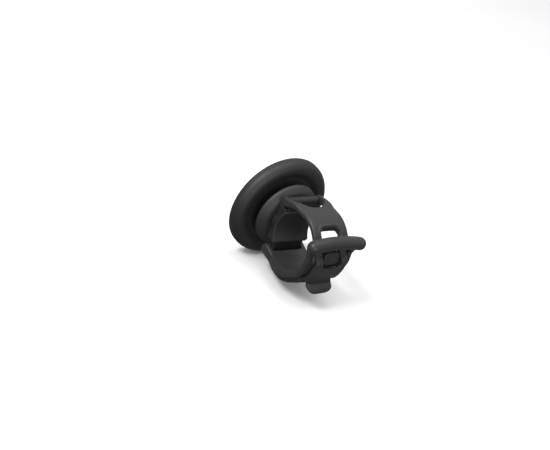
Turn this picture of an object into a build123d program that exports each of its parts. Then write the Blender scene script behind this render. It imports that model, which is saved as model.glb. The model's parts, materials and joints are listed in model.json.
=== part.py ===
from build123d import *
import os
from math import sin, cos, asin, radians, degrees, hypot

os.makedirs("parts", exist_ok=True)

# Magnetic phone mount for a bicycle handlebar: a round magnetic puck on a small
# ball joint, strapped to the bar by a silicone tongue and a silicone buckle band.
# Frame: origin on the bar axis at the middle of the mount, +X along the bar,
# +Y from the bar to the phone, +Z up. Millimetres.

# ---------------------------------------------------------------- dimensions
bar_d = 31.8            # oversize handlebar
seat_r = 16.0           # inner radius of everything that lies on the bar
strap_t = 3.2           # silicone thickness
face_y = 36.2           # plane that the phone rests on
puck_r = 31.2
puck_t = 7.7            # housing thickness, front edge to back rim
puck_back_y = 28.2      # back rim of the puck
rim_r = 4.6             # rounding of the rim
dish_y = 30.8           # floor of the dished back
floor_t = 1.2           # housing floor thickness

ball_y = 24.2           # centre of the ball joint
ball_r = 4.5
fit = 0.05              # running fit of the ball and its liner, radial
liner_t = 1.0
collar_r = 20.0
collar_y = 25.2         # height of the widest circle of the collar
thread_r = 12.9

pin_y, pin_z_top, pin_z_low = 16.5, 15.0, -17.6
pin_r = 1.5
lug_hw = 10.0           # half width of the lugs that carry the strap pins
lug_r = 2.7             # outer radius of the upper one

tongue_hw = 12.5        # half width of the tongue
tongue_low = 10.9       # its half width below the cross bar
band_hw = 16.0          # half width of the buckle band
middle_hw = 11.2        # half width of the band's thick middle
tab_hw = 8.8            # half width of the pull tab
tbar_r = 3.8
tbar_hl = 20.2          # half length of the cross bar
tbar_a = 146.6          # its angle round the bar axis, from +Y towards +Z
tbar_R = 23.8           # its radius from the bar axis, in the middle
tbar_bow = 0.8          # drop of its ends towards the bar
tbar_droop = 3.2        # droop of its ends round the bar, degrees
pin_hl = 12.0           # half length of the strap pins, closed in at both ends

liner_ri = ball_r + fit
liner_ro = liner_ri + liner_t
socket_r = liner_ro + fit


def P(r, a):
    """Point at radius r and angle a (degrees, from +Y towards +Z) in the Y-Z plane."""
    return (r * cos(radians(a)), r * sin(radians(a)))


# ================================================================= the puck
# Rear shell: rounded rim, dished back, open towards the phone.
with BuildPart() as puck_housing:
    with BuildSketch(Plane.XY) as s:
        with BuildLine():
            Polyline((2.1, dish_y), (20.6, dish_y), (25.0, puck_back_y), (puck_r - rim_r, puck_back_y))
            RadiusArc((puck_r - rim_r, puck_back_y), (puck_r, puck_back_y + rim_r), -rim_r)
            Polyline((puck_r, puck_back_y + rim_r), (puck_r, face_y - 1.0), (puck_r - 0.7, face_y - 0.3),
                     (29.3, face_y - 0.3), (29.3, dish_y + floor_t), (2.1, dish_y + floor_t), (2.1, dish_y))
        make_face()
    revolve(axis=Axis.Y)
    with BuildSketch(Plane.XZ.offset(-(dish_y + floor_t))):
        with PolarLocations(16.0, 4, start_angle=45):
            Circle(2.2)
    extrude(amount=-(face_y - 1.3 - dish_y - floor_t))
    with BuildSketch(Plane.XZ.offset(-(dish_y + 0.7))):
        with PolarLocations(16.0, 4, start_angle=45):
            Circle(1.0)
    extrude(amount=-4.5, mode=Mode.SUBTRACT)
puck_housing.part.label = "puck_housing"
export_step(puck_housing.part, "parts/puck_housing.step")

cav_y = dish_y + floor_t            # inside floor of the housing
yoke_t = 0.7
mag_t = 1.8
plate_y0 = face_y - 1.3             # back of the front plate
plate_y1 = face_y - 0.3             # front of the front plate

# Steel plate that closes the magnets' field behind them.
with BuildPart() as steel_yoke:
    with BuildSketch(Plane.XZ.offset(-cav_y)):
        Circle(29.2)
        Circle(5.4, mode=Mode.SUBTRACT)
        with PolarLocations(16.0, 4, start_angle=45):
            Circle(2.35, mode=Mode.SUBTRACT)
    extrude(amount=-yoke_t)
steel_yoke.part.label = "steel_yoke"
export_step(steel_yoke.part, "parts/steel_yoke.step")

# Ring of arc magnets.
with BuildPart() as ring_magnets:
    with BuildSketch(Plane.XZ.offset(-(cav_y + yoke_t))):
        Circle(27.0)
        Circle(21.6, mode=Mode.SUBTRACT)
        with PolarLocations(24.3, 16):
            Rectangle(8.0, 0.7, mode=Mode.SUBTRACT)
    extrude(amount=-mag_t)
ring_magnets.part.label = "ring_magnets"
export_step(ring_magnets.part, "parts/ring_magnets.step")

# Plastic carrier with a pocket for each magnet.
with BuildPart() as magnet_carrier:
    with BuildSketch(Plane.XZ.offset(-(cav_y + yoke_t))):
        Circle(29.2)
        Circle(5.4, mode=Mode.SUBTRACT)
        with PolarLocations(16.0, 4, start_angle=45):
            Circle(2.35, mode=Mode.SUBTRACT)
    extrude(amount=-(plate_y0 - cav_y - yoke_t))
    with BuildSketch(Plane.XZ.offset(-(cav_y + yoke_t))):
        Circle(27.1)
        Circle(21.5, mode=Mode.SUBTRACT)
        with PolarLocations(24.3, 16):
            Rectangle(8.0, 0.5, mode=Mode.SUBTRACT)
    extrude(amount=-(mag_t + 0.05), mode=Mode.SUBTRACT)
magnet_carrier.part.label = "magnet_carrier"
export_step(magnet_carrier.part, "parts/magnet_carrier.step")

# Front plate, with a shallow seat for the pad and four countersinks.
with BuildPart() as front_plate:
    with BuildSketch(Plane.XZ.offset(-plate_y0)):
        Circle(29.2)
    extrude(amount=-(plate_y1 - plate_y0))
    with BuildSketch(Plane.XZ.offset(-(plate_y1 - 0.35))):
        Circle(27.8)
    extrude(amount=-0.4, mode=Mode.SUBTRACT)
    with BuildSketch(Plane.XY, mode=Mode.PRIVATE) as cs:
        with BuildLine():
            Polyline((16.0, plate_y0 - 0.1), (17.15, plate_y0 - 0.1), (17.15, plate_y0), (17.95, plate_y1 - 0.35),
                     (17.95, plate_y1), (16.0, plate_y1), (16.0, plate_y0 - 0.1))
        make_face()
    cone = revolve(cs.sketch, axis=Axis((16.0, 0, 0), (0, 1, 0)), mode=Mode.PRIVATE)
    with Locations(*[Location((0, 0, 0), (0, a, 0)) for a in (45, 135, 225, 315)]):
        add(cone, mode=Mode.SUBTRACT)
front_plate.part.label = "front_plate"
export_step(front_plate.part, "parts/front_plate.step")

# Soft pad that the phone rests on.
with BuildPart() as face_pad:
    with BuildSketch(Plane.XZ.offset(-(plate_y1 - 0.35))):
        Circle(27.7)
    extrude(amount=-0.65)
    fillet(face_pad.edges().filter_by(GeomType.CIRCLE).sort_by(Axis.Y)[-1:], 0.25)
face_pad.part.label = "face_pad"
export_step(face_pad.part, "parts/face_pad.step")

# Four countersunk screws under the pad.
with BuildPart() as plate_screws:
    with BuildSketch(Plane.XY, mode=Mode.PRIVATE) as ps:
        with BuildLine():
            Polyline((16.0, dish_y + 0.9), (16.95, dish_y + 0.9), (16.95, plate_y0 + 0.05), (17.85, plate_y1 - 0.4),
                     (16.0, plate_y1 - 0.4), (16.0, dish_y + 0.9))
        make_face()
    screw = revolve(ps.sketch, axis=Axis((16.0, 0, 0), (0, 1, 0)), mode=Mode.PRIVATE)
    with BuildSketch(Plane.XZ.offset(-(plate_y1 - 0.75)), mode=Mode.PRIVATE) as slot_sk:
        with Locations((16.0, 0)):
            Rectangle(1.9, 0.45)
            Rectangle(0.45, 1.9)
    slot = extrude(slot_sk.sketch, amount=-0.5, mode=Mode.PRIVATE)
    with Locations(*[Location((0, 0, 0), (0, a, 0)) for a in (45, 135, 225, 315)]):
        add(screw)
    with Locations(*[Location((0, 0, 0), (0, a, 0)) for a in (45, 135, 225, 315)]):
        add(slot, mode=Mode.SUBTRACT)
plate_screws.part.label = "plate_screws"
export_step(plate_screws.part, "parts/plate_screws.step")

# ================================================================ ball joint
# Steel ball stud: ball, short neck, flange under the puck, threaded shank.
flange_y = dish_y - 0.9
shank_top = plate_y0 - 0.2
with BuildPart() as ball_stud:
    with BuildSketch(Plane.XY):
        with BuildLine():
            neck_r = 2.2
            y_top = ball_y + (ball_r ** 2 - neck_r ** 2) ** 0.5
            k1 = ThreePointArc((0, ball_y - ball_r), (ball_r, ball_y), (neck_r, y_top))
            Polyline(k1 @ 1, (neck_r, flange_y - 0.3), (neck_r + 0.3, flange_y), (5.0, flange_y), (5.0, dish_y - 0.05),
                     (2.0, dish_y - 0.05), (2.0, shank_top - 0.4), (1.6, shank_top), (0, shank_top), k1 @ 0)
        make_face()
    revolve(axis=Axis.Y)
ball_stud.part.label = "ball_stud"
export_step(ball_stud.part, "parts/ball_stud.step")

# Thrust washer between the stud flange's nut and the puck floor.
with BuildPart() as wave_washer:
    with BuildSketch(Plane.XZ.offset(-(cav_y + 0.05))):
        Circle(4.6)
        Circle(2.1, mode=Mode.SUBTRACT)
    extrude(amount=-0.5)
wave_washer.part.label = "wave_washer"
export_step(wave_washer.part, "parts/wave_washer.step")

with BuildPart() as stud_nut:
    with BuildSketch(Plane.XZ.offset(-(cav_y + 0.6))):
        RegularPolygon(radius=4.04, side_count=6)
        Circle(2.0, mode=Mode.SUBTRACT)
    extrude(amount=-1.8)
stud_nut.part.label = "stud_nut"
export_step(stud_nut.part, "parts/stud_nut.step")

# Floating liner: a thin spherical shell that lets the ball tilt both ways.
with BuildPart() as ball_liner:
    with BuildSketch(Plane.XY):
        with BuildLine():
            lo, hi = -3.6, 2.9
            ro, ri = liner_ro, liner_ri
            q1 = ThreePointArc(((ro**2 - lo**2) ** 0.5, ball_y + lo), (ro, ball_y), ((ro**2 - hi**2) ** 0.5, ball_y + hi))
            q2 = Line(q1 @ 1, ((ri**2 - hi**2) ** 0.5, ball_y + hi))
            q3 = ThreePointArc(q2 @ 1, (ri, ball_y), ((ri**2 - lo**2) ** 0.5, ball_y + lo))
            Line(q3 @ 1, q1 @ 0)
        make_face()
    revolve(axis=Axis.Y)
ball_liner.part.label = "ball_liner"
export_step(ball_liner.part, "parts/ball_liner.step")

# Friction collar: the smooth dome that screws over the socket and grips the liner.
lip = 3.4
with BuildPart() as joint_collar:
    with BuildSketch(Plane.XY):
        with BuildLine():
            c1 = ThreePointArc((socket_r, ball_y + 0.1), ((socket_r**2 - 1.7**2) ** 0.5, ball_y + 1.7),
                               ((socket_r**2 - lip**2) ** 0.5, ball_y + lip))
            c2 = Polyline(c1 @ 1, (8.0, ball_y + lip), (18.6, collar_y + 0.9))
            c3 = ThreePointArc((18.6, collar_y + 0.9), (19.6, collar_y + 0.6), (collar_r, collar_y - 0.2))
            c4 = Spline((collar_r, collar_y - 0.2), (19.0, 22.9), (16.8, 21.1), (14.2, 20.45),
                        tangents=((0, -1), (-1, -0.12)))
            Polyline((14.2, 20.45), (thread_r + 0.05, 20.45), (thread_r + 0.05, ball_y + 0.1),
                     (socket_r, ball_y + 0.1))
        make_face()
    revolve(axis=Axis.Y)
joint_collar.part.label = "joint_collar"
export_step(joint_collar.part, "parts/joint_collar.step")

# ================================================================== the base
# Core: socket and thread on top, saddle below, two lugs with cross holes for the pins.
pad_t = 1.2
ring_r = 0.6
ring_R = thread_r - ring_r
ring_y = 22.4
with BuildPart() as base_core:
    with BuildSketch(Plane.XZ.offset(-15.5)):
        Circle(thread_r)
    extrude(amount=-(ball_y - 15.5))
    # shoulders below the collar
    with BuildSketch(Plane.YZ):
        with BuildLine():
            Polyline((9.5, -11.2), (20.1, -11.2), (20.1, 11.2), (9.5, 11.2), (9.5, -11.2))
        make_face()
    extrude(amount=12.3, both=True)
    # lugs
    with BuildSketch(Plane.YZ):
        with Locations((pin_y, pin_z_top)):
            Circle(lug_r)
        with Locations((pin_y, pin_z_low)):
            Circle(3.1)
        with BuildLine():
            Polyline((pin_y - 3.1, pin_z_low), (pin_y + 3.1, pin_z_low), (pin_y + 3.1, pin_z_top - 1.0),
                     (pin_y + 1.2, pin_z_top), (pin_y - 1.2, pin_z_top), (pin_y - 3.1, pin_z_top - 1.0), (pin_y - 3.1, pin_z_low))
        make_face()
    extrude(amount=lug_hw, both=True)
    # saddle
    with BuildSketch(Plane.YZ):
        Circle(seat_r + pad_t)
    extrude(amount=20, both=True, mode=Mode.SUBTRACT)
    # socket
    with Locations((0, ball_y, 0)):
        Sphere(socket_r, mode=Mode.SUBTRACT)
    # groove for the friction ring under the collar
    with BuildSketch(Plane.XY):
        with Locations((ring_R, ring_y)):
            Rectangle(2 * ring_r, 2 * ring_r)
    revolve(axis=Axis.Y, mode=Mode.SUBTRACT)
    # pin holes
    with BuildSketch(Plane.YZ):
        with Locations((pin_y, pin_z_top), (pin_y, pin_z_low)):
            Circle(pin_r)
    extrude(amount=20, both=True, mode=Mode.SUBTRACT)
base_core.part.label = "base_core"
export_step(base_core.part, "parts/base_core.step")

# Rubber ring that keeps the collar from working loose.
with BuildPart() as friction_ring:
    with BuildSketch(Plane.XY):
        with Locations((ring_R, ring_y)):
            Circle(ring_r - 0.01)
    revolve(axis=Axis.Y)
friction_ring.part.label = "friction_ring"
export_step(friction_ring.part, "parts/friction_ring.step")

# Rubber pad between the core and the bar.
with BuildPart() as saddle_pad:
    with BuildSketch(Plane.YZ):
        with BuildLine():
            a = 38.0
            p1 = ThreePointArc(P(seat_r, -a), (seat_r, 0), P(seat_r, a))
            p2 = Line(p1 @ 1, P(seat_r + pad_t, a))
            p3 = ThreePointArc(p2 @ 1, (seat_r + pad_t, 0), P(seat_r + pad_t, -a))
            Line(p3 @ 1, p1 @ 0)
        make_face()
    extrude(amount=12.3, both=True)
saddle_pad.part.label = "saddle_pad"
export_step(saddle_pad.part, "parts/saddle_pad.step")

# Steel pins that the two straps hook over.
for pin_name, pz in (("tongue_pin", pin_z_top), ("band_pin", pin_z_low)):
    with BuildPart() as strap_pin:
        with BuildSketch(Plane.YZ):
            with Locations((pin_y, pz)):
                Circle(pin_r)
        extrude(amount=pin_hl, both=True)
        chamfer(strap_pin.edges().filter_by(GeomType.CIRCLE), 0.3)
    strap_pin.part.label = pin_name
    export_step(strap_pin.part, f"parts/{pin_name}.step")

# =============================================================== the tongue
# Perforated silicone strap: two eyelets on the upper pin, over the top of the bar,
# down its front under the cross bar, over the band's landing, ending in a pull tab.
r0, r1 = seat_r, seat_r + strap_t            # lying on the bar
q0, q1r = 19.5, 22.8                         # lying on the band's landing
with BuildPart() as strap_tongue:
    with BuildSketch(Plane.YZ) as side:
        with BuildLine():
            # outer side, from the eyelet forwards
            o1 = Spline((pin_y, pin_z_top + 3.2), (9.0, 19.55), P(r1, 84), tangents=((-1, 0.06), (-1, 0.0)))
            o2 = ThreePointArc(P(r1, 84), P(r1, 122), P(r1, 160))
            o3 = Spline(P(r1, 160), P(20.2, 168), P(q1r, 179), tangents=((-sin(radians(160)), cos(radians(160))),
                                                                        (-sin(radians(179)), cos(radians(179)))))
            o4 = ThreePointArc(P(q1r, 179), P(q1r, 198), P(q1r, 216))
            # shoulder, crease, and the tab bending away from the bar
            o5 = Line(P(q1r, 216), P(21.5, 219.3))
            o5b = Spline(P(21.5, 219.3), (-20.4, -15.0), (-23.0, -18.4), tangents=((-0.95, -0.3), (-0.35, -1)))
            o6 = ThreePointArc((-23.0, -18.4), (-22.2, -20.4), (-20.2, -20.2))
            o7 = Spline((-20.2, -20.2), (-18.6, -18.0), P(23.2, 222.3), tangents=((-0.1, 1), (0.75, 0.65)))
            o7b = Line(P(23.2, 222.3), P(q0, 221))
            # inner side, back to the eyelet
            o8 = ThreePointArc(P(q0, 221), P(q0, 200), P(q0, 182))
            o9 = Spline(P(q0, 182), P(17.0, 170), P(r0, 158),
                        tangents=((sin(radians(182)), -cos(radians(182))), (sin(radians(158)), -cos(radians(158)))))
            o10 = ThreePointArc(P(r0, 158), P(r0, 120), P(r0, 82))
            o11 = Spline(P(r0, 82), (8.5, 15.9), (pin_y, pin_z_top - 3.2), tangents=((1, -0.0), (1, -0.45)))
            o12 = ThreePointArc((pin_y, pin_z_top - 3.2), (pin_y + 3.2, pin_z_top), (pin_y, pin_z_top + 3.2))
        make_face()
    extrude(amount=13.6, both=True)
    # sides, seen from above: a little wider towards the eyelets
    for sx in (1, -1):
        with BuildSketch(Plane.XY.offset(-40)) as trims:
            with BuildLine():
                Polyline((sx * tongue_hw, -40), (sx * tongue_hw, 1), (sx * 13.5, 13), (sx * 13.6, 30), (sx * 20, 30),
                         (sx * 20, -40), (sx * tongue_hw, -40))
            make_face()
        extrude(amount=80, mode=Mode.SUBTRACT)
    # sides, seen from the front: narrower below the cross bar
    for sx in (1, -1):
        with BuildSketch(Plane.XZ.offset(5)) as taper:
            with BuildLine():
                t1 = Line((sx * 20, 13), (sx * (tongue_hw + 0.1), 13))
                t2 = Spline((sx * (tongue_hw + 0.1), 13), (sx * 11.8, 6.0), (sx * tongue_low, -1.0), (sx * tongue_low, -8.0),
                            (sx * 11.5, -13.3), tangents=((0, -1), (sx * 0.25, -1)))
                Polyline((sx * 11.5, -13.3), (sx * 11.5, -14.5), (sx * 20, -14.5), (sx * 20, 13))
            make_face()
        extrude(amount=40, mode=Mode.SUBTRACT)
    # pull tab: narrower than the strap, with a round end
    for sx in (1, -1):
        with BuildSketch(Plane.XZ.offset(5)) as tab_trim:
            with BuildLine():
                Polyline((sx * 30, -13.75), (sx * (tab_hw + 0.9), -13.75), (sx * tab_hw, -14.7), (sx * tab_hw, -40),
                         (sx * 30, -40), (sx * 30, -13.75))
            make_face()
        extrude(amount=40, mode=Mode.SUBTRACT)
    with BuildSketch(Plane.XZ.offset(5)) as tab_end:
        with Locations((0, -15.6)):
            Rectangle(40, 12, align=(Align.CENTER, Align.MAX))
            Ellipse(tab_hw, 5.3, mode=Mode.SUBTRACT)
    extrude(amount=40, mode=Mode.SUBTRACT)
    # large opening round the hub, seen from above
    with BuildSketch(Plane.XY.offset(8)) as hub_hole:
        with Locations((0, 15.4)):
            Circle(10.4)
        with Locations((0, 20.4)):
            Rectangle(20.8, 10)
    extrude(amount=20, mode=Mode.SUBTRACT)
    # upper window, its top wall sloping back
    w1 = 131.0
    with BuildSketch(Plane(origin=(0, *P(15, w1)), x_dir=(1, 0, 0), z_dir=(0, *P(1, w1)))):
        with Locations((0, (0.65 - 5.2) / 2)):
            RectangleRounded(11.6, 0.65 + 5.2, 2.6)
    with BuildSketch(Plane(origin=(0, *P(20, w1)), x_dir=(1, 0, 0), z_dir=(0, *P(1, w1)))):
        with Locations((0, (4.62 - 5.2) / 2)):
            RectangleRounded(14.7, 4.62 + 5.2, 3.8)
    loft(mode=Mode.SUBTRACT)
    # lower window, round the hook
    w2 = 172.5
    with BuildSketch(Plane(origin=(0, *P(14, w2)), x_dir=(1, 0, 0), z_dir=(0, *P(1, w2)))):
        RectangleRounded(12.0, 9.4, 2.6)
    with BuildSketch(Plane(origin=(0, *P(25, w2)), x_dir=(1, 0, 0), z_dir=(0, *P(1, w2)))):
        RectangleRounded(13.8, 11.2, 3.0)
    loft(mode=Mode.SUBTRACT)
    # eyelet bores, closed at their outer ends
    with BuildSketch(Plane.YZ):
        with Locations((pin_y, pin_z_top)):
            Circle(pin_r)
    extrude(amount=pin_hl + 0.05, both=True, mode=Mode.SUBTRACT)
strap_tongue.part.label = "strap_tongue"
export_step(strap_tongue.part, "parts/strap_tongue.step")

# ========================================================= the buckle band
rod_r = 1.4
rod_hx = 16.0


bar_mid = P(tbar_R, tbar_a)
bar_end = P(tbar_R - tbar_bow, tbar_a + tbar_droop)
bar_hx = tbar_hl - tbar_r
sag_y, sag_z = bar_mid[0] - bar_end[0], bar_mid[1] - bar_end[1]
sag = hypot(sag_y, sag_z)
bar_rho = (bar_hx ** 2 + sag ** 2) / (2 * sag)


arc_c = (0, bar_mid[0] - bar_rho * sag_y / sag, bar_mid[1] - bar_rho * sag_z / sag)
arc_axis = Axis(arc_c, (0, sag_z, -sag_y))


def bar_plane(x):
    """Plane across the arched cross bar at x along the handlebar."""
    c = (bar_rho ** 2 - x ** 2) ** 0.5
    return Plane(origin=(x, arc_c[1] + c * sag_y / sag, arc_c[2] + c * sag_z / sag),
                 z_dir=(c, -x * sag_y / sag, -x * sag_z / sag))


with BuildPart() as cross_bar_rod:
    with BuildSketch(bar_plane(-rod_hx)):
        Circle(rod_r)
    revolve(axis=arc_axis, revolution_arc=2 * degrees(asin(rod_hx / bar_rho)))
cross_bar_rod.part.label = "cross_bar_rod"
export_step(cross_bar_rod.part, "parts/cross_bar_rod.step")

# Hook of the band, shaped on its own before it joins the band.
hk = 172.5
with BuildPart() as band_hook:
    with BuildSketch(Plane(origin=(0, *P(15, hk)), x_dir=(1, 0, 0), z_dir=(0, *P(1, hk)))):
        RectangleRounded(11.2, 7.9, 2.4)
    with BuildSketch(Plane(origin=(0, *P(20.7, hk)), x_dir=(1, 0, 0), z_dir=(0, *P(1, hk)))):
        RectangleRounded(10.4, 7.6, 2.6)
    loft()
    with BuildSketch(Plane.YZ):
        with BuildLine():
            k1 = Line(P(16.3, 185.0), P(18.8, 185.0))
            k2 = ThreePointArc(P(18.8, 185.0), P(18.8, 181), P(18.8, 177))
            k3 = Line(P(18.8, 177), P(16.3, 177))
            ThreePointArc(P(16.3, 177), P(16.3, 181), P(16.3, 185.0))
        make_face()
    extrude(amount=5.1, both=True)
    with BuildSketch(Plane.YZ):
        Circle(seat_r + 0.1)
    extrude(amount=10, both=True, mode=Mode.SUBTRACT)

with BuildPart() as buckle_band:
    # full-width band on the bar, from the landing's edge round to the lower pin
    with BuildSketch(Plane.YZ) as flange:
        with BuildLine():
            f1 = ThreePointArc(P(19.3, 184), P(19.3, 205), P(19.3, 228))
            f2 = Spline(P(19.3, 228), (-1.5, -21.3), (9.0, -21.6), (pin_y, pin_z_low - 3.3),
                        tangents=((-sin(radians(228)), cos(radians(228))), (1, 0.1)))
            f3 = ThreePointArc((pin_y, pin_z_low - 3.3), (pin_y + 3.3, pin_z_low), (pin_y, pin_z_low + 3.3))
            f4 = Spline((pin_y, pin_z_low + 3.3), (8.0, -16.6), P(16.0, 266), tangents=((-1, -0.3), (-1, 0.0)))
            f5 = ThreePointArc(P(16.0, 266), P(16.0, 225), P(16.0, 184))
            Line(P(16.0, 184), P(19.3, 184))
        make_face()
    extrude(amount=band_hw, both=True)
    # thick middle, flush with the end of the tongue
    with BuildSketch(Plane.YZ) as middle:
        with BuildLine():
            g1 = Line(P(18.5, 223.6), P(22.8, 223.6))
            g2 = ThreePointArc(P(22.8, 223.6), P(22.8, 229), P(22.8, 234))
            g3 = Spline(P(22.8, 234), (-4.5, -24.7), (2.5, -26.2), (9.0, -25.0), (pin_y - 0.5, pin_z_low - 3.2),
                        tangents=((-sin(radians(234)), cos(radians(234))), (1, 0.6)))
            Polyline((pin_y - 0.5, pin_z_low - 3.2), (6.0, -19.5), (-6, -17.5), P(18.5, 223.6))
        make_face()
    extrude(amount=middle_hw, both=True)
    # arms up both sides of the tongue
    with BuildSketch(Plane.YZ) as arms:
        with BuildLine():
            h1 = ThreePointArc(P(16.0, 184.5), P(16.0, 168), P(16.0, 152))
            h2 = Spline(P(16.0, 152), P(18.2, 144.5), P(21.5, 141.5), tangents=((sin(radians(152)), -cos(radians(152))), P(1, 139)))
            h3 = Line(P(21.5, 141.5), P(24.0, 150))
            h4 = Spline(P(24.0, 150), P(21.6, 158.5), P(19.3, 168), P(19.3, 184.5),
                        tangents=(P(-1, 150), (-sin(radians(184.5)), cos(radians(184.5)))))
            Line(P(19.3, 184.5), P(16.0, 184.5))
        make_face()
    extrude(amount=band_hw, both=True)
    # slot between the arms, a little wider than the tongue
    with BuildSketch(Plane.XZ.offset(5)):
        with BuildLine():
            Polyline((-11.3, -1.3), (-12.2, 5.5), (-12.9, 8.0), (-12.9, 40), (12.9, 40), (12.9, 8.0), (12.2, 5.5),
                     (11.3, -1.3), (-11.3, -1.3))
        make_face()
    extrude(amount=40, mode=Mode.SUBTRACT)
    # hook that stands in the tongue's lower window
    add(band_hook.part)
    # cross bar with free ears, slightly bowed
    with BuildSketch(bar_plane(-bar_hx)):
        Circle(tbar_r)
    revolve(axis=arc_axis, revolution_arc=2 * degrees(asin(bar_hx / bar_rho)))
    with Locations(bar_plane(-bar_hx).origin, bar_plane(bar_hx).origin):
        Sphere(tbar_r)
    # bore for the stiffening rod
    with BuildSketch(bar_plane(-rod_hx)):
        Circle(rod_r)
    revolve(axis=arc_axis, revolution_arc=2 * degrees(asin(rod_hx / bar_rho)), mode=Mode.SUBTRACT)
    # root: narrows to the lower pin and forks round the lug
    with BuildSketch(Plane.XY.offset(-30)):
        with BuildLine():
            Polyline((16.1, -2), (13.5, 9), (13.5, 30), (20, 30), (20, -2), (16.1, -2))
        make_face()
        with BuildLine():
            Polyline((-16.1, -2), (-13.5, 9), (-13.5, 30), (-20, 30), (-20, -2), (-16.1, -2))
        make_face()
        with BuildLine():
            Polyline((-10.4, 12.4), (-10.4, 30), (10.4, 30), (10.4, 12.4), (-10.4, 12.4))
        make_face()
    extrude(amount=26, mode=Mode.SUBTRACT)
    with BuildSketch(Plane.YZ):
        with Locations((pin_y, pin_z_low)):
            Circle(pin_r)
    extrude(amount=pin_hl + 0.05, both=True, mode=Mode.SUBTRACT)
buckle_band.part.label = "buckle_band"
export_step(buckle_band.part, "parts/buckle_band.step")
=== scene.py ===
import json
import math

import bmesh
import bpy
import numpy as np
from mathutils import Matrix, Vector

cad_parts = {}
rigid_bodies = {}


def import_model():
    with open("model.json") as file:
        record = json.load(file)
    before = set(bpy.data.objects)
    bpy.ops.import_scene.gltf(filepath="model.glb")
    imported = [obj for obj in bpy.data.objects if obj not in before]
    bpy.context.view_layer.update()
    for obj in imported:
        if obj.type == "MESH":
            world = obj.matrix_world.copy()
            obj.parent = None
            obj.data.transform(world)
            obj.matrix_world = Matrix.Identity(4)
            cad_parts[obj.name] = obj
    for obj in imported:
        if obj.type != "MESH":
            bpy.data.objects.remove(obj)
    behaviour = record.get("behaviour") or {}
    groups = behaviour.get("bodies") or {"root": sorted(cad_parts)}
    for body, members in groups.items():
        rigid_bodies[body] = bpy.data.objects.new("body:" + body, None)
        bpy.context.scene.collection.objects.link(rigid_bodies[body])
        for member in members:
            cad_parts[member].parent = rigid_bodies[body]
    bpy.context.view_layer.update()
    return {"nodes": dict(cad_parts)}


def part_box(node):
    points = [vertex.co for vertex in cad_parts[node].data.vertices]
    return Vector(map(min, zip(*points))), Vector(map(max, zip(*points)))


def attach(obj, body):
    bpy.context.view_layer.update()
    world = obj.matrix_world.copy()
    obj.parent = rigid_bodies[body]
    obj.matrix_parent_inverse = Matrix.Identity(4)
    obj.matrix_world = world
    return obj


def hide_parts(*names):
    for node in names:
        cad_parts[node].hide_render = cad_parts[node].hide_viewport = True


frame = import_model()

MM = 0.001


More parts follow.
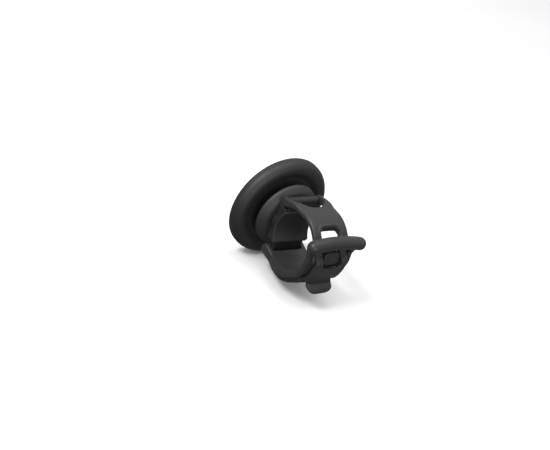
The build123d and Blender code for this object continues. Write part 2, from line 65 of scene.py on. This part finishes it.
# ---------------------------------------------------------------- node helpers
class Nodes:
    """Small helper for building a node material; coordinates are object space in millimetres."""

    def __init__(self, name):
        self.m = bpy.data.materials.new(name)
        self.m.use_nodes = True
        self.t = self.m.node_tree
        self.t.nodes.clear()
        self.out = self.t.nodes.new("ShaderNodeOutputMaterial")
        self.bsdf = self.t.nodes.new("ShaderNodeBsdfPrincipled")
        self.t.links.new(self.bsdf.outputs[0], self.out.inputs[0])
        tc = self.t.nodes.new("ShaderNodeTexCoord")
        mp = self.t.nodes.new("ShaderNodeMapping")
        mp.inputs["Scale"].default_value = (1000, 1000, 1000)
        self.t.links.new(tc.outputs["Object"], mp.inputs[0])
        self.mm = mp.outputs[0]

    def link(self, a, b):
        self.t.links.new(a, b)

    def mapped(self, scale=(1, 1, 1), offset=(0, 0, 0), rot=(0, 0, 0)):
        n = self.t.nodes.new("ShaderNodeMapping")
        n.inputs["Scale"].default_value = scale
        n.inputs["Location"].default_value = offset
        n.inputs["Rotation"].default_value = rot
        self.link(self.mm, n.inputs[0])
        return n.outputs[0]

    def noise(self, scale, detail=2.0, rough=0.5, coords=None, distortion=0.0):
        n = self.t.nodes.new("ShaderNodeTexNoise")
        n.inputs["Scale"].default_value = scale
        n.inputs["Detail"].default_value = detail
        n.inputs["Roughness"].default_value = rough
        n.inputs["Distortion"].default_value = distortion
        self.link(coords or self.mm, n.inputs["Vector"])
        return n.outputs[0]

    def voronoi(self, scale, feature="F1", coords=None):
        n = self.t.nodes.new("ShaderNodeTexVoronoi")
        n.feature = feature
        n.inputs["Scale"].default_value = scale
        self.link(coords or self.mm, n.inputs["Vector"])
        return n.outputs[0]

    def ramp(self, fac, stops, interp="LINEAR"):
        n = self.t.nodes.new("ShaderNodeValToRGB")
        n.color_ramp.interpolation = interp
        e = n.color_ramp.elements
        while len(e) > 1:
            e.remove(e[-1])
        e[0].position, e[0].color = stops[0][0], col(stops[0][1])
        for p, c in stops[1:]:
            k = e.new(p)
            k.color = col(c)
        self.link(fac, n.inputs[0])
        return n.outputs[0]

    def mix(self, fac, a, b, blend="MIX"):
        n = self.t.nodes.new("ShaderNodeMix")
        n.data_type = "RGBA"
        n.blend_type = blend
        ins = {"f": n.inputs[0], "a": n.inputs[6], "b": n.inputs[7]}
        for key, v in (("f", fac), ("a", a), ("b", b)):
            if isinstance(v, (int, float)) and key == "f":
                ins[key].default_value = v
            elif isinstance(v, (int, float, tuple)):
                ins[key].default_value = col(v)
            else:
                self.link(v, ins[key])
        return n.outputs[2]

    def math(self, op, a, b=0.0, clamp=False):
        n = self.t.nodes.new("ShaderNodeMath")
        n.operation = op
        n.use_clamp = clamp
        for s, v in ((n.inputs[0], a), (n.inputs[1], b)):
            if isinstance(v, (int, float)):
                s.default_value = v
            else:
                self.link(v, s)
        return n.outputs[0]

    def range(self, v, a, b, c, d):
        n = self.t.nodes.new("ShaderNodeMapRange")
        n.inputs["From Min"].default_value = a
        n.inputs["From Max"].default_value = b
        n.inputs["To Min"].default_value = c
        n.inputs["To Max"].default_value = d
        self.link(v, n.inputs["Value"])
        return n.outputs[0]

    def bump(self, *layers):
        """layers: (height socket, distance in millimetres, strength)."""
        last = None
        for h, dist, strength in layers:
            n = self.t.nodes.new("ShaderNodeBump")
            n.inputs["Strength"].default_value = strength
            n.inputs["Distance"].default_value = dist * MM
            self.link(h, n.inputs["Height"])
            if last is not None:
                self.link(last, n.inputs["Normal"])
            last = n.outputs[0]
        self.link(last, self.bsdf.inputs["Normal"])

    def edge(self, lo=0.5, hi=0.56):
        g = self.t.nodes.new("ShaderNodeNewGeometry")
        return self.range(g.outputs["Pointiness"], lo, hi, 0.0, 1.0)

    def set(self, **kw):
        for k, v in kw.items():
            self.bsdf.inputs[k.replace("_", " ")].default_value = v

    def to(self, socket, name):
        self.link(socket, self.bsdf.inputs[name])


def col(v):
    if isinstance(v, (int, float)):
        return (v, v, v, 1.0)
    return tuple(v) + ((1.0,) if len(v) == 3 else ())


# ------------------------------------------------------------------ materials
def rubber(name, base, tint=(1.0, 1.0, 1.0), grain=9.0, rough=(0.50, 0.64), dust=0.5, edge_tone=1.25):
    """Matte moulded silicone or rubber: micro-grain, cloudy bloom, faint dust and paler edges: rubbed wear, raised on
    the silicone straps into a painted highlight along their rounded edges.
    """
    n = Nodes(name)
    c = lambda k: tuple(base * k * t for t in tint)
    cloud = n.noise(0.13, 4, 0.55)
    tone = n.ramp(cloud, [(0.30, c(0.86)), (0.55, c(1.0)), (0.75, c(1.16))])
    fine = n.noise(2.2, 3, 0.6)
    tone = n.mix(n.range(fine, 0.35, 0.7, 0.0, 0.22), tone, c(1.35))
    specks = n.voronoi(1.7)
    near = n.range(specks, 0.0, 0.085, 1.0, 0.0)
    where = n.range(n.noise(0.32, 2, 0.5), 0.52, 0.66, 0.0, 1.0)
    fleck = n.math("MULTIPLY", near, where, clamp=True)
    tone = n.mix(n.math("MULTIPLY", fleck, 0.35 * dust), tone, tuple(min(1.0, base * 6 + 0.03) for _ in range(3)))
    # Paler convex edges: rubbed wear; with the straps' higher edge_tone this becomes a painted highlight on their
    # rounded edges.
    tone = n.mix(n.math("MULTIPLY", n.edge(0.515, 0.60), 0.5, clamp=True), tone, c(edge_tone * 1.25))
    n.to(tone, "Base Color")
    r = n.range(n.noise(0.35, 4, 0.6), 0.3, 0.7, rough[0], rough[1])
    r = n.math("ADD", r, n.math("MULTIPLY", fleck, 0.2), clamp=True)
    n.to(r, "Roughness")
    n.bump((n.noise(0.45, 3, 0.5), 0.05, 0.5), (n.noise(grain, 3, 0.65), 0.012, 0.55))
    n.set(IOR=1.43, Sheen_Weight=0.06, Sheen_Roughness=0.5)
    return n.m


def moulded(name, base, tint=(1.0, 1.0, 1.0), rough=(0.34, 0.48), cell=4.5, depth=0.016, edge_tone=1.35, fibres=False):
    """Hard moulded plastic with a spark-eroded texture, slight flow clouds and rubbed edges."""
    n = Nodes(name)
    c = lambda k: tuple(base * k * t for t in tint)
    cloud = n.noise(0.09, 3, 0.5, distortion=0.4)
    tone = n.ramp(cloud, [(0.30, c(0.90)), (0.60, c(1.0)), (0.80, c(1.12))])
    pits = n.noise(cell, 4, 0.6)
    tone = n.mix(n.range(pits, 0.4, 0.72, 0.0, 0.25), tone, c(1.3))
    if fibres:
        f = n.voronoi(1.0, coords=n.mapped(scale=(0.8, 3.4, 3.4), rot=(0.4, 0.2, 0.9)))
        tone = n.mix(n.range(f, 0.0, 0.22, 0.35, 0.0), tone, c(2.2))
    tone = n.mix(n.math("MULTIPLY", n.edge(0.515, 0.60), 0.45, clamp=True), tone, c(edge_tone * 1.2))
    n.to(tone, "Base Color")
    n.to(n.range(n.noise(0.5, 4, 0.6), 0.3, 0.72, rough[0], rough[1]), "Roughness")
    n.bump((n.noise(0.3, 2, 0.5), 0.03, 0.35), (pits, depth, 0.6))
    n.set(IOR=1.5)
    return n.m


def metal(name, base, rough=(0.22, 0.36), lines=None, line_scale=7.0, spots=0.25):
    """Machined or plated metal. lines: 'Y' for turning marks about the Y axis, 'X' for marks round X."""
    n = Nodes(name)
    cloud = n.noise(0.5, 4, 0.6)
    tone = n.ramp(cloud, [(0.3, tuple(b * 0.82 for b in base)), (0.6, base), (0.8, tuple(min(1, b * 1.06) for b in base))])
    stain = n.range(n.noise(1.4, 5, 0.7), 0.58, 0.74, 0.0, spots)
    tone = n.mix(stain, tone, tuple(b * 0.45 for b in base))
    n.to(tone, "Base Color")
    n.set(Metallic=1.0)
    n.to(n.range(n.noise(2.6, 4, 0.6), 0.3, 0.7, rough[0], rough[1]), "Roughness")
    if lines:
        k = {"X": (line_scale, 0.12, 0.12), "Y": (0.12, line_scale, 0.12), "F": (0.25, 0.25, line_scale)}[lines]
        tex = n.noise(1.0, 3, 0.6, coords=n.mapped(scale=k))
    else:
        tex = n.noise(5.0, 3, 0.6)
    n.bump((tex, 0.008, 0.5))
    return n.m


def acetal(name):
    n = Nodes(name)
    cloud = n.noise(0.25, 3, 0.5)
    n.to(n.ramp(cloud, [(0.3, (0.60, 0.59, 0.55)), (0.7, (0.70, 0.69, 0.66))]), "Base Color")
    n.to(n.range(n.noise(1.2, 4, 0.6), 0.3, 0.7, 0.26, 0.40), "Roughness")
    n.bump((n.noise(1.0, 3, 0.6, coords=n.mapped(scale=(0.15, 6, 0.15))), 0.006, 0.5))
    n.set(IOR=1.48, Subsurface_Weight=0.08)
    return n.m


M = {
    # edge_tone 1.5 paints a highlight along the straps' rounded edges, over the rubbed-edge wear.
    "silicone": rubber("silicone_strap", 0.0215, grain=8.0, rough=(0.34, 0.44), edge_tone=1.5),
    "seal": rubber("rubber_seal", 0.018, grain=11.0, rough=(0.56, 0.70), dust=0.3),
    "pad": rubber("silicone_pad", 0.028, grain=13.0, rough=(0.60, 0.72), dust=0.7),
    "housing": moulded("housing_plastic", 0.0140, rough=(0.50, 0.60), cell=5.0),
    "collar": moulded("collar_plastic", 0.020, rough=(0.48, 0.60), cell=4.0),
    "core": moulded("core_nylon", 0.010, rough=(0.48, 0.62), cell=3.0, fibres=True),
    "carrier": moulded("carrier_plastic", 0.17, tint=(1.0, 1.0, 1.02), rough=(0.42, 0.55), cell=3.2),
    "steel": metal("stainless_steel", (0.60, 0.59, 0.57), lines=None),
    "steel_turned": metal("turned_steel", (0.30, 0.295, 0.29), rough=(0.22, 0.34), lines="Y"),
    "steel_pin": metal("blackened_pin_steel", (0.075, 0.075, 0.078), rough=(0.34, 0.46), lines="X"),
    "magnet": metal("nickel_plate", (0.66, 0.64, 0.60), rough=(0.12, 0.24), lines=None, spots=0.1),
    "acetal": acetal("acetal_liner"),
}


# ------------------------------------------------------------- mesh helpers
def finish_mesh(name, me, body, material, nodes, smooth=True):
    ob = bpy.data.objects.new(name, me)
    bpy.context.scene.collection.objects.link(ob)
    me.materials.clear()
    me.materials.append(material)
    if smooth:
        me.polygons.foreach_set("use_smooth", [True] * len(me.polygons))
    me.update()
    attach(ob, body)
    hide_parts(*nodes)
    return ob


def round_profile(pts, rad, seg=6):
    """Closed profile in mm with each corner rounded; rad is one radius or one for each corner."""
    n = len(pts)
    rad = [rad] * n if isinstance(rad, (int, float)) else rad
    out = []
    for i in range(n):
        p = Vector(pts[i])
        a, b = Vector(pts[i - 1]) - p, Vector(pts[(i + 1) % n]) - p
        la, lb = a.length, b.length
        a.normalize(); b.normalize()
        ang = a.angle(b) if la > 1e-9 and lb > 1e-9 else math.pi
        r = rad[i]
        if r <= 0 or ang > math.pi - 0.02:
            out.append(tuple(p))
            continue
        cut = min(r / math.tan(ang / 2), 0.45 * la, 0.45 * lb)
        r = cut * math.tan(ang / 2)
        bis = (a + b).normalized()
        c = p + bis * (r / math.sin(ang / 2))
        s, e = p + a * cut, p + b * cut
        out.append(tuple(p + a * min(cut * 1.15, cut + 0.05)))
        va, vb = (s - c), (e - c)
        tot = va.angle(vb)
        sign = 1 if va.x * vb.y - va.y * vb.x > 0 else -1
        for k in range(seg + 1):
            t = sign * tot * k / seg
            ct, st = math.cos(t), math.sin(t)
            out.append((c.x + va.x * ct - va.y * st, c.y + va.x * st + va.y * ct))
        out.append(tuple(p + b * min(cut * 1.15, cut + 0.05)))
    return out


def densify(pts, step):
    out = []
    n = len(pts)
    for i in range(n):
        a, b = Vector(pts[i]), Vector(pts[(i + 1) % n])
        out.append(tuple(a))
        k = int((b - a).length // step)
        for j in range(1, k + 1):
            out.append(tuple(a.lerp(b, j / (k + 1))))
    return out


def lathe(pts, segs=256, axis="Y", centre=(0.0, 0.0, 0.0), relief=None):
    """Closed ring swept about an axis. pts are (radius, along) in mm, none on the axis unless radius is 0."""
    bm = bmesh.new()
    n = len(pts)
    rings = []
    for k in range(segs):
        t = 2 * math.pi * k / segs
        ct, st = math.cos(t), math.sin(t)
        ring = []
        for r, y in pts:
            if relief is not None:
                r, y = relief(r, y, t)
            if axis == "Y":
                p = (centre[0] + r * ct, centre[1] + y, centre[2] + r * st)
            elif axis == "X":
                p = (centre[0] + y, centre[1] + r * ct, centre[2] + r * st)
            ring.append(bm.verts.new(Vector(p) * MM))
        rings.append(ring)
    for k in range(segs):
        a, b = rings[k], rings[(k + 1) % segs]
        for i in range(n):
            j = (i + 1) % n
            bm.faces.new((a[i], a[j], b[j], b[i]))
    bmesh.ops.remove_doubles(bm, verts=bm.verts, dist=1e-7)
    dead = [f for f in bm.faces if f.calc_area() < 1e-15]
    if dead:
        bmesh.ops.delete(bm, geom=dead, context="FACES")
    bmesh.ops.recalc_face_normals(bm, faces=bm.faces)
    me = bpy.data.meshes.new("lathe")
    bm.to_mesh(me)
    bm.free()
    return me


def arc(cx, cy, r, a0, a1, n):
    return [(cx + r * math.cos(math.radians(a0 + (a1 - a0) * i / n)),
             cy + r * math.sin(math.radians(a0 + (a1 - a0) * i / n))) for i in range(n + 1)]


def remeshed(node, voxel, iterations, keep=None, strength=0.5):
    """The CAD node's shape as an even quad mesh with softly rounded moulded edges."""
    src = frame["nodes"][node]
    tmp = bpy.data.objects.new("tmp_" + node, src.data.copy())
    bpy.context.scene.collection.objects.link(tmp)
    mod = tmp.modifiers.new("r", "REMESH")
    mod.mode = "VOXEL"
    mod.voxel_size = voxel * MM
    mod.adaptivity = 0.0
    dg = bpy.context.evaluated_depsgraph_get()
    me = bpy.data.meshes.new_from_object(tmp.evaluated_get(dg))
    bpy.data.objects.remove(tmp)
    taubin(me, iterations, strength, keep)
    return me


def taubin(me, iterations, strength=0.5, keep=None):
    n = len(me.vertices)
    co = np.empty(n * 3)
    me.vertices.foreach_get("co", co)
    co = co.reshape(-1, 3)
    e = np.empty(len(me.edges) * 2, dtype=np.int64)
    me.edges.foreach_get("vertices", e)
    e = e.reshape(-1, 2)
    deg = np.bincount(e.ravel(), minlength=n).astype(float)
    start = co.copy()
    for _ in range(iterations):
        for f in (strength, -strength * 1.06):
            acc = np.zeros_like(co)
            for k in range(3):
                acc[:, k] = (np.bincount(e[:, 0], weights=co[e[:, 1], k], minlength=n)
                             + np.bincount(e[:, 1], weights=co[e[:, 0], k], minlength=n))
            lap = acc / deg[:, None] - co
            co = co + f * lap
    if keep is not None:
        w = keep(start)[:, None]
        co = start * w + co * (1 - w)
    me.vertices.foreach_set("co", co.ravel())
    me.update()


def shrink_smooth(me, iterations, strength=0.5, weight=None):
    """Plain smoothing, which draws the edges in a little. weight(co_mm) gives 0 to 1 for each vertex."""
    n = len(me.vertices)
    co = np.empty(n * 3)
    me.vertices.foreach_get("co", co)
    co = co.reshape(-1, 3)
    e = np.empty(len(me.edges) * 2, dtype=np.int64)
    me.edges.foreach_get("vertices", e)
    e = e.reshape(-1, 2)
    deg = np.bincount(e.ravel(), minlength=n).astype(float)
    w = strength if weight is None else (strength * weight(co / MM))[:, None]
    for _ in range(iterations):
        acc = np.zeros_like(co)
        for k in range(3):
            acc[:, k] = (np.bincount(e[:, 0], weights=co[e[:, 1], k], minlength=n)
                         + np.bincount(e[:, 1], weights=co[e[:, 0], k], minlength=n))
        co = co + w * (acc / deg[:, None] - co)
    me.vertices.foreach_set("co", co.ravel())
    me.update()


def displace(me, fn):
    """Moves each vertex by fn(co_mm, normals), in millimetres."""
    n = len(me.vertices)
    co = np.empty(n * 3)
    me.vertices.foreach_get("co", co)
    co = co.reshape(-1, 3)
    no = np.empty(n * 3)
    me.vertices.foreach_get("normal", no)
    no = no.reshape(-1, 3)
    co = co + fn(co / MM, no) * MM
    me.vertices.foreach_set("co", co.ravel())
    me.update()


def step01(v, a, b):
    t = np.clip((v - a) / (b - a), 0, 1)
    return t * t * (3 - 2 * t)


def rrect(px, py, cx, cy, hx, hy, r):
    """Signed distance to a rounded rectangle, negative inside."""
    qx, qy = np.abs(px - cx) - (hx - r), np.abs(py - cy) - (hy - r)
    return np.hypot(np.maximum(qx, 0), np.maximum(qy, 0)) + np.minimum(np.maximum(qx, qy), 0) - r


def window_lip(angle, cy, hx, hy, r, height, width, r_min):
    """A soft raised lip round a strap window whose centre line is at this angle round the bar."""
    c, sn = math.cos(math.radians(angle)), math.sin(math.radians(angle))

    def fn(p, n):
        up = p[:, 1] * sn - p[:, 2] * c
        out = p[:, 1] * c + p[:, 2] * sn
        rad = np.hypot(p[:, 1], p[:, 2])
        d = rrect(p[:, 0], up, 0.0, cy, hx, hy, r)
        facing = (n[:, 1] * p[:, 1] + n[:, 2] * p[:, 2]) / np.maximum(rad, 1e-6)
        w = np.exp(-((d - width) / (0.62 * width)) ** 2) * step01(facing, 0.3, 0.8) * (out > 0) * step01(rad, r_min, r_min + 0.5)
        return n * (height * w)[:, None]

    return fn


# --------------------------------------------------------------- dimensions
# Millimetres, as the CAD has them.
def node_box(name):
    lo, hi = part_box(name)
    return [v / MM for v in lo], [v / MM for v in hi]


h_lo, h_hi = node_box("puck_housing")
back_y, front_y, puck_r = h_lo[1], h_hi[1], h_hi[0]
face_y = node_box("face_pad")[1][1]
c_lo, c_hi = node_box("joint_collar")
collar_r = c_hi[0]
l_lo, l_hi = node_box("ball_liner")
ball_y = l_lo[1] + 3.6
dish_y = back_y + 2.6

# ------------------------------------------------------------------- puck
housing_profile = (
    [(2.1, dish_y + 1.2), (2.1, dish_y), (20.5, dish_y)]
    + [(20.5 + 4.9 * t, dish_y - (dish_y - back_y) * (3 * t * t - 2 * t ** 3)) for t in (0.08, 0.16, 0.26, 0.38, 0.5, 0.62, 0.74, 0.84, 0.92)]
    + [(25.4, back_y), (26.0, back_y)]
    + arc(puck_r - 4.6, back_y + 4.6, 4.6, -90, 0, 20)
    + [(puck_r, back_y + 5.0), (puck_r, face_y - 1.25), (puck_r - 0.15, face_y - 0.85), (puck_r - 0.7, front_y),
       (29.3, front_y), (29.3, dish_y + 1.2)]
)
me = lathe(densify(housing_profile, 1.2), 288)
housing_obj = bpy.data.objects.new("puck_shell", me)
bpy.context.scene.collection.objects.link(housing_obj)
for k in range(4):
    a = math.radians(45 + 90 * k)
    cx, cz = 16.0 * math.cos(a), 16.0 * math.sin(a)
    boss = bpy.data.objects.new("boss", lathe(round_profile([(1.0, dish_y + 0.7), (2.2, dish_y + 0.7), (2.2, face_y - 1.3), (1.0, face_y - 1.3)],
                                                            [0, 0, 0.15, 0.12]), 40, centre=(cx, 0, cz)))
    bpy.context.scene.collection.objects.link(boss)
    mod = housing_obj.modifiers.new("b", "BOOLEAN")
    mod.operation, mod.solver, mod.object = "UNION", "EXACT", boss
dg = bpy.context.evaluated_depsgraph_get()
me = bpy.data.meshes.new_from_object(housing_obj.evaluated_get(dg))
for o in list(bpy.data.objects):
    if o.name.startswith("boss") or o is housing_obj:
        bpy.data.objects.remove(o)
housing = finish_mesh("puck_shell", me, "puck", M["housing"], ["puck_housing"])

pad_y0 = face_y - 0.65
pad_profile = round_profile([(0.0, pad_y0), (27.7, pad_y0), (27.7, face_y), (26.55, face_y), (26.4, face_y - 0.2), (25.9, face_y - 0.2),
                             (25.75, face_y), (0.0, face_y)], [0, 0.08, 0.28, 0.05, 0.08, 0.08, 0.05, 0])
pad = finish_mesh("phone_pad", lathe(densify(pad_profile, 1.0), 256), "puck", M["pad"], ["face_pad"])

# ------------------------------------------------------------- joint collar
sr = 5.6
collar_profile = (
    [(sr, ball_y + 0.1), (math.sqrt(sr ** 2 - 1.7 ** 2), ball_y + 1.7), (math.sqrt(sr ** 2 - 3.4 ** 2), ball_y + 3.4),
     (8.0, ball_y + 3.4), (18.3, 26.13), (18.9, 25.98), (19.45, 25.68), (19.8, 25.3), (20.0, 24.95),
     (19.96, 24.5), (19.75, 23.9), (19.4, 23.35), (18.95, 22.85), (18.35, 22.3), (17.6, 21.7), (16.8, 21.12),
     (15.9, 20.72), (15.0, 20.52), (14.2, 20.45), (12.95, 20.45), (12.95, ball_y + 0.1)]
)
collar = finish_mesh("joint_dome", lathe(densify(collar_profile, 0.8), 256), "collar", M["collar"], ["joint_collar"])

# ------------------------------------------------------------ friction ring
t_ring = [(12.3 + 0.585 * math.cos(2 * math.pi * k / 28), 22.4 + 0.585 * math.sin(2 * math.pi * k / 28)) for k in range(28)]
ring = finish_mesh("friction_o_ring", lathe(t_ring, 224), "base", M["seal"],
                   ["friction_ring"])

# ------------------------------------------------------------------ straps
V = 0.26


def tab_weight(p):
    return step01(-p[:, 2], 14.1, 15.3) * step01(-p[:, 1], 15.4, 16.6)


def tongue_edge(p):
    return step01(np.abs(p[:, 0]), 9.2, 10.8) * step01(p[:, 2], 1.0, 4.0)


def off_hook(p):
    """Less smoothing at the hook and the window round it, so that the gap between them stays narrow."""
    near = (step01(9.2 - np.abs(p[:, 0]), 0.0, 1.2) * step01(-p[:, 1], 12.0, 13.5)
            * step01(p[:, 2], -5.5, -3.8) * (1 - step01(p[:, 2], 8.5, 10.0)))
    return 1 - 0.78 * near


me = remeshed("strap_tongue", V, 10)
shrink_smooth(me, 30, weight=off_hook)
shrink_smooth(me, 70, weight=tongue_edge)
shrink_smooth(me, 26, weight=tab_weight)
displace(me, window_lip(131.0, -0.9, 7.15, 4.4, 3.4, 0.30, 1.15, 18.2))
displace(me, window_lip(172.5, 0.0, 6.7, 5.4, 2.9, 0.22, 1.0, 20.2))
shrink_smooth(me, 2)
tongue = finish_mesh("tongue_strap", me, "base", M["silicone"], ["strap_tongue"])
me = remeshed("buckle_band", V, 10)
shrink_smooth(me, 26, weight=off_hook)
band = finish_mesh("buckle_strap", me, "base", M["silicone"], ["buckle_band"])
me = remeshed("base_core", V, 6)
shrink_smooth(me, 2)
core = finish_mesh("core_block", me, "base", M["core"], ["base_core"])
me = remeshed("saddle_pad", 0.24, 3)


def ribs(p, n):
    rad = np.hypot(p[:, 1], p[:, 2])
    facing = -(n[:, 1] * p[:, 1] + n[:, 2] * p[:, 2]) / np.maximum(rad, 1e-6)
    wave = np.clip(np.cos(2 * np.pi * p[:, 0] / 2.4) * 1.6 - 0.9, 0, 1)
    inside = step01(12.0 - np.abs(p[:, 0]), 0.2, 0.9)
    return -n * (0.30 * wave * inside * step01(facing, 0.5, 0.9))[:, None]


displace(me, ribs)
saddle = finish_mesh("saddle_rubber", me, "base", M["seal"], ["saddle_pad"])

# ----------------------------------------------------- carried-over CAD nodes
for node, key in (("steel_yoke", "steel"), ("ring_magnets", "magnet"), ("magnet_carrier", "carrier"), ("front_plate", "housing"),
                  ("plate_screws", "steel"), ("ball_stud", "steel_turned"), ("wave_washer", "steel"), ("stud_nut", "steel"),
                  ("ball_liner", "acetal"), ("tongue_pin", "steel_pin"), ("band_pin", "steel_pin"),
                  ("cross_bar_rod", "steel_pin")):
    o = frame["nodes"][node]
    if not o.material_slots:
        o.data.materials.append(M[key])
    for s in o.material_slots:
        s.material = M[key]

# ---------------------------------------------------------------- the stage
floor_z = -0.0315
fm = Nodes("pale_floor")
fm.to(fm.ramp(fm.noise(0.004, 2, 0.5), [(0.3, 0.86), (0.7, 0.88)]), "Base Color")
fm.set(Roughness=0.9)
bpy.ops.mesh.primitive_plane_add(size=6.0, location=(0, 0, floor_z))
floor = bpy.context.object
floor.name = "floor"
floor.visible_diffuse = False
floor.visible_glossy = False
floor.data.materials.append(fm.m)

world = bpy.data.worlds.new("studio")
bpy.context.scene.world = world
world.use_nodes = True
wt = world.node_tree
bg = wt.nodes["Background"]
wc = wt.nodes.new("ShaderNodeTexCoord")
sx = wt.nodes.new("ShaderNodeSeparateXYZ")
wt.links.new(wc.outputs["Generated"], sx.inputs[0])
wr = wt.nodes.new("ShaderNodeMapRange")
wr.inputs["From Min"].default_value, wr.inputs["From Max"].default_value = -1.0, 1.0
wr.inputs["To Min"].default_value, wr.inputs["To Max"].default_value = 0.0, 1.0
wt.links.new(sx.outputs[2], wr.inputs["Value"])
ramp = wt.nodes.new("ShaderNodeValToRGB")
for pos, v in ((0.0, 0.13), (0.42, 0.22), (0.56, 0.36), (1.0, 0.56)):
    el = ramp.color_ramp.elements.new(pos)
    el.color = (v, v, v, 1)
for el in [e for e in ramp.color_ramp.elements if e.color[0] in (0.0, 1.0)]:
    ramp.color_ramp.elements.remove(el)
wt.links.new(wr.outputs[0], ramp.inputs[0])
wt.links.new(ramp.outputs[0], bg.inputs[0])
bg.inputs[1].default_value = 1.0


def area(name, loc, target, size, power, size_y=None):
    ld = bpy.data.lights.new(name, "AREA")
    ld.energy = power
    ld.size = size
    if size_y:
        ld.shape = "RECTANGLE"
        ld.size_y = size_y
    lo = bpy.data.objects.new(name, ld)
    lo.location = loc
    lo.rotation_mode = "QUATERNION"
    lo.rotation_quaternion = (Vector(target) - Vector(loc)).to_track_quat("-Z", "Y")
    bpy.context.scene.collection.objects.link(lo)
    return lo


area("key_left", (-0.76, 0.06, 0.84), (0, 0, 0), 0.36, 9.0)
area("top", (0.10, 0.05, 1.05), (0, 0, 0), 0.8, 3.0)
area("fill", (-0.30, -1.0, 0.16), (0, 0, 0), 0.6, 4.4)
area("side", (-1.0, -0.18, 0.30), (0, 0, 0), 0.3, 1.5)

scene = bpy.context.scene
scene.view_settings.view_transform = "Standard"
scene.view_settings.look = "None"

cam_data = bpy.data.cameras.new("view")
cam = bpy.data.objects.new("view", cam_data)
scene.collection.objects.link(cam)
cam_data.sensor_width = 36.0
cam_data.lens = 77.92
cam_data.clip_start, cam_data.clip_end = 0.02, 20.0
cam.location = (-0.42822, -0.38269, 0.32649)
right, up, back = Vector((0.77716, -0.52942, 0.34022)), Vector((0.05655, 0.59719, 0.80011)), -Vector((0.62676, 0.60257, -0.49405))
cam.rotation_mode = "QUATERNION"
cam.rotation_quaternion = Matrix((right, up, back)).transposed().to_quaternion()
scene.camera = cam
